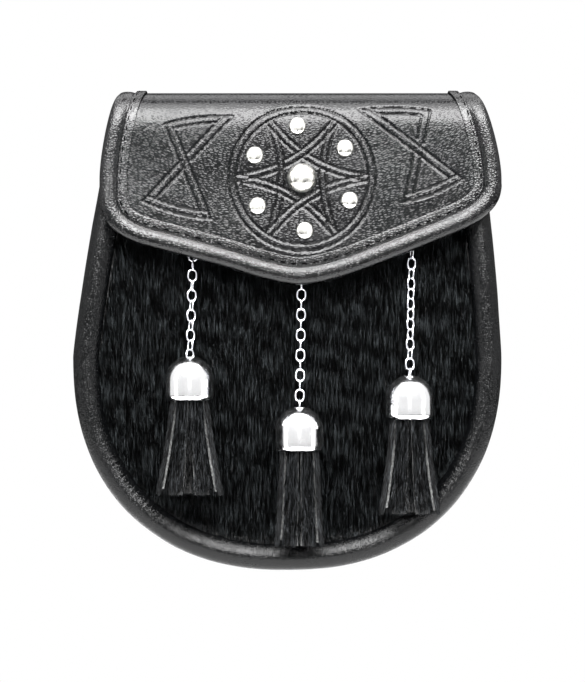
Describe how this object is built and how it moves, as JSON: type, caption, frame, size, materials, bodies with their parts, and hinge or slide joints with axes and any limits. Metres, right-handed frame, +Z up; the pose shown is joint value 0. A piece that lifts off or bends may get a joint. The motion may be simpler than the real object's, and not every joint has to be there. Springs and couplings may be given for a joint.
{
  "type": "sporran pouch",
  "caption": "Black leather belt pouch with a rounded hide front, padded rim, studded and tooled fold-over flap, and chain-hung hide tassels in domed metal bells.",
  "frame": {"origin": "midway between the two belt loops, in the middle of the tunnel that the belt passes through", "axes": "+Z up as worn, +Y towards the wearer, +X to the right of someone who looks at the front; the front faces -Y"},
  "size_m": [0.2036, 0.0736, 0.2276],
  "materials": {
    "plain_leather": "plain black leather, matt",
    "rim_leather": "fine-grained black leather, soft sheen",
    "hide": "short black hair on hide",
    "flap_leather": "pebbled black leather, tooled, satin",
    "binding_leather": "black leather binding, satin",
    "chrome": "polished",
    "steel": "plain wire",
    "tassel_hide": "black hair on hide strips with grey cut edges"
  },
  "bodies": {
    "root": {"back_panel": "plain_leather", "belt_loop_left": "plain_leather", "belt_loop_right": "plain_leather", "side_gusset": "rim_leather", "fur_panel": "hide", "flap": "flap_leather", "flap_binding": "binding_leather", "centre_stud": "chrome", "stud_1": "chrome", "stud_2": "chrome", "stud_3": "chrome", "stud_4": "chrome", "stud_5": "chrome", "stud_6": "chrome", "press_stud": "steel", "chain_left": "chrome", "chain_centre": "chrome", "chain_right": "chrome", "chain_staple_left": "steel", "chain_staple_centre": "steel", "chain_staple_right": "steel", "tassel_wire_left": "steel", "tassel_wire_centre": "steel", "tassel_wire_right": "steel", "bell_left": "chrome", "bell_centre": "chrome", "bell_right": "chrome", "tassel_left": "tassel_hide", "tassel_centre": "tassel_hide", "tassel_right": "tassel_hide"}
  },
  "joints": []
}
